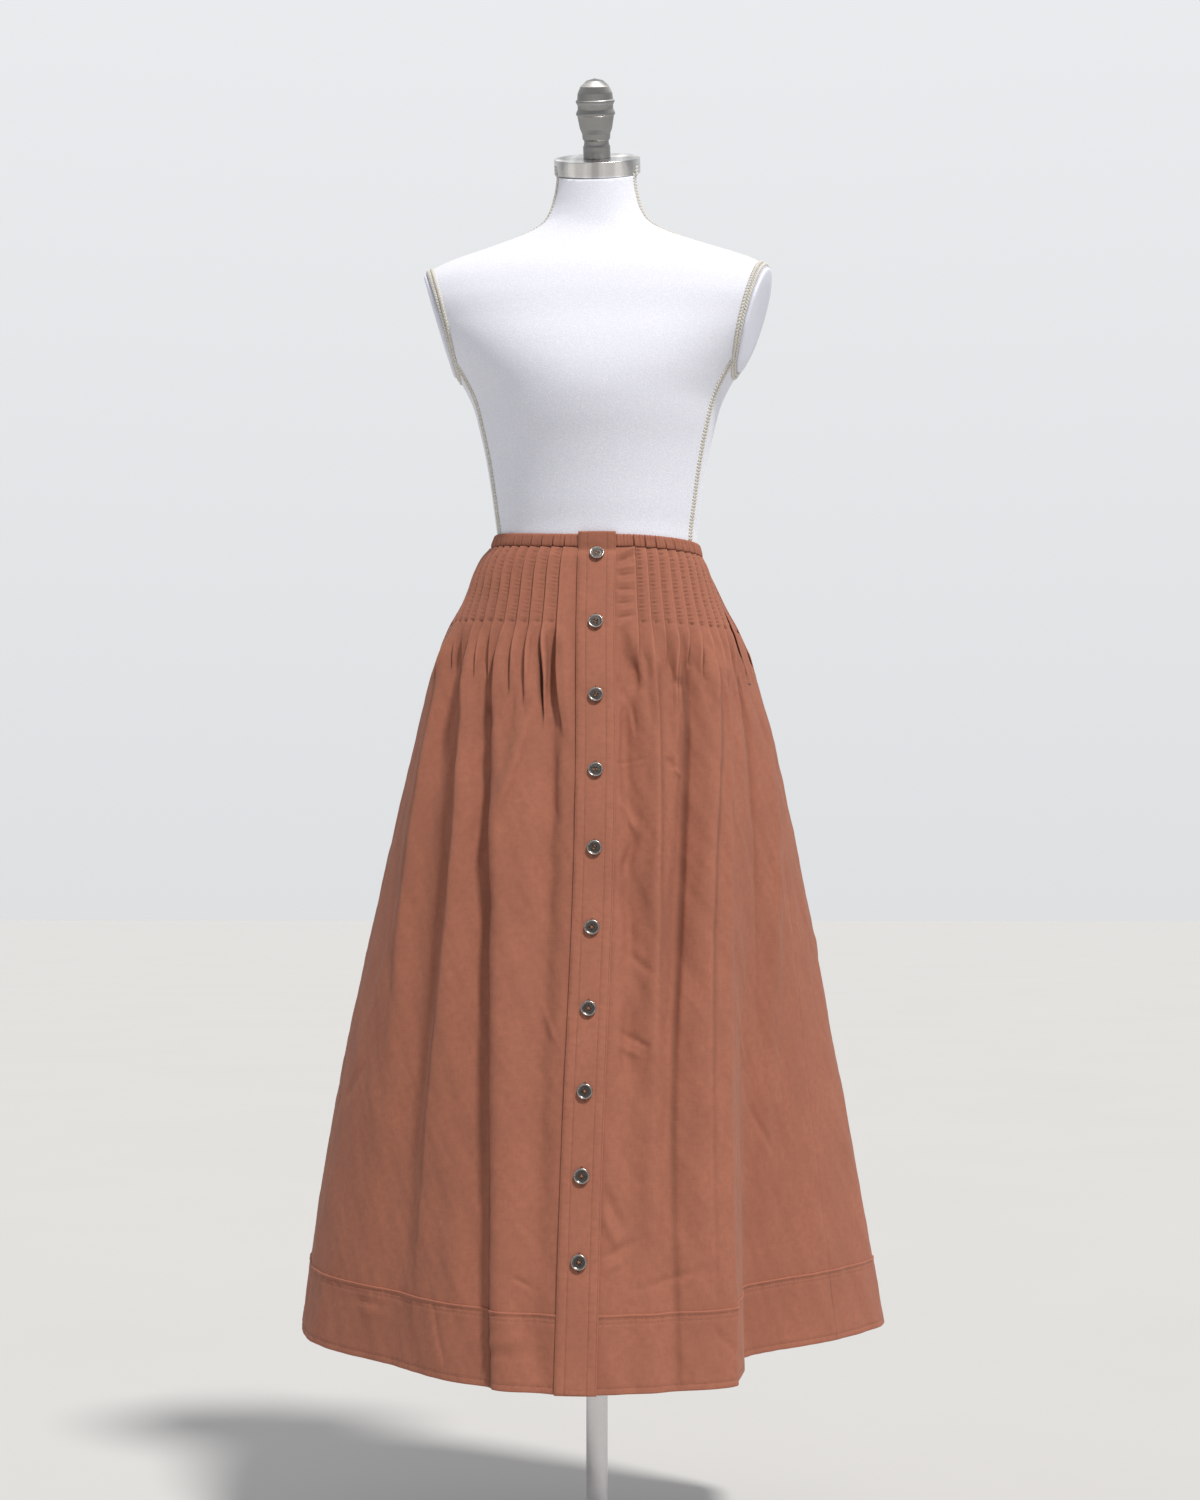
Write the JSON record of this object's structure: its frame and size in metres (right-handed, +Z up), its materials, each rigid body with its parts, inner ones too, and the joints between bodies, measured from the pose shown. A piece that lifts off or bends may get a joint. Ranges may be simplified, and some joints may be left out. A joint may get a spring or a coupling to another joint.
{
  "type": "midi skirt on a dress form",
  "caption": "High-waisted flared midi skirt with a button front, stitched waist tucks, side pockets and a hem band, on a limbless dress form with a pole and round base.",
  "frame": {"origin": "centre of the base plate's underside, on the floor under the pole", "axes": "+Z up along the pole, the skirt's button front faces -Y, +X is the wearer's left"},
  "size_m": [0.662, 0.6069, 1.6904],
  "materials": {
    "cloth": "matt rust brown cotton, soft and slightly crumpled",
    "cloth_strip": "matt rust brown cotton, topstitched",
    "pocket": "matt rust brown cotton, in shade",
    "button": "dark grey centre with a bright metallic rim",
    "form": "white jersey cover",
    "plate": "white covered armhole plate",
    "steel": "brushed",
    "pole": "satin"
  },
  "bodies": {
    "root": {"front_panel_right": "cloth", "front_panel_left": "cloth", "back_panel": "cloth", "waistband_front_right": "cloth", "waistband_front_left": "cloth", "waistband_back": "cloth", "hem_band_front_right": "cloth", "hem_band_front_left": "cloth", "hem_band_back": "cloth", "placket": "cloth_strip", "button_stand": "cloth_strip", "pocket_bag_right": "pocket", "pocket_bag_left": "pocket", "button_01": "button", "button_02": "button", "button_03": "button", "button_04": "button", "button_05": "button", "button_06": "button", "button_07": "button", "button_08": "button", "button_09": "button", "button_10": "button", "form_torso": "form", "arm_plate_right": "plate", "arm_plate_left": "plate", "neck_cap": "steel", "finial": "steel", "hub": "pole", "pole": "pole", "base_collar": "pole", "base_plate": "pole"}
  },
  "joints": []
}
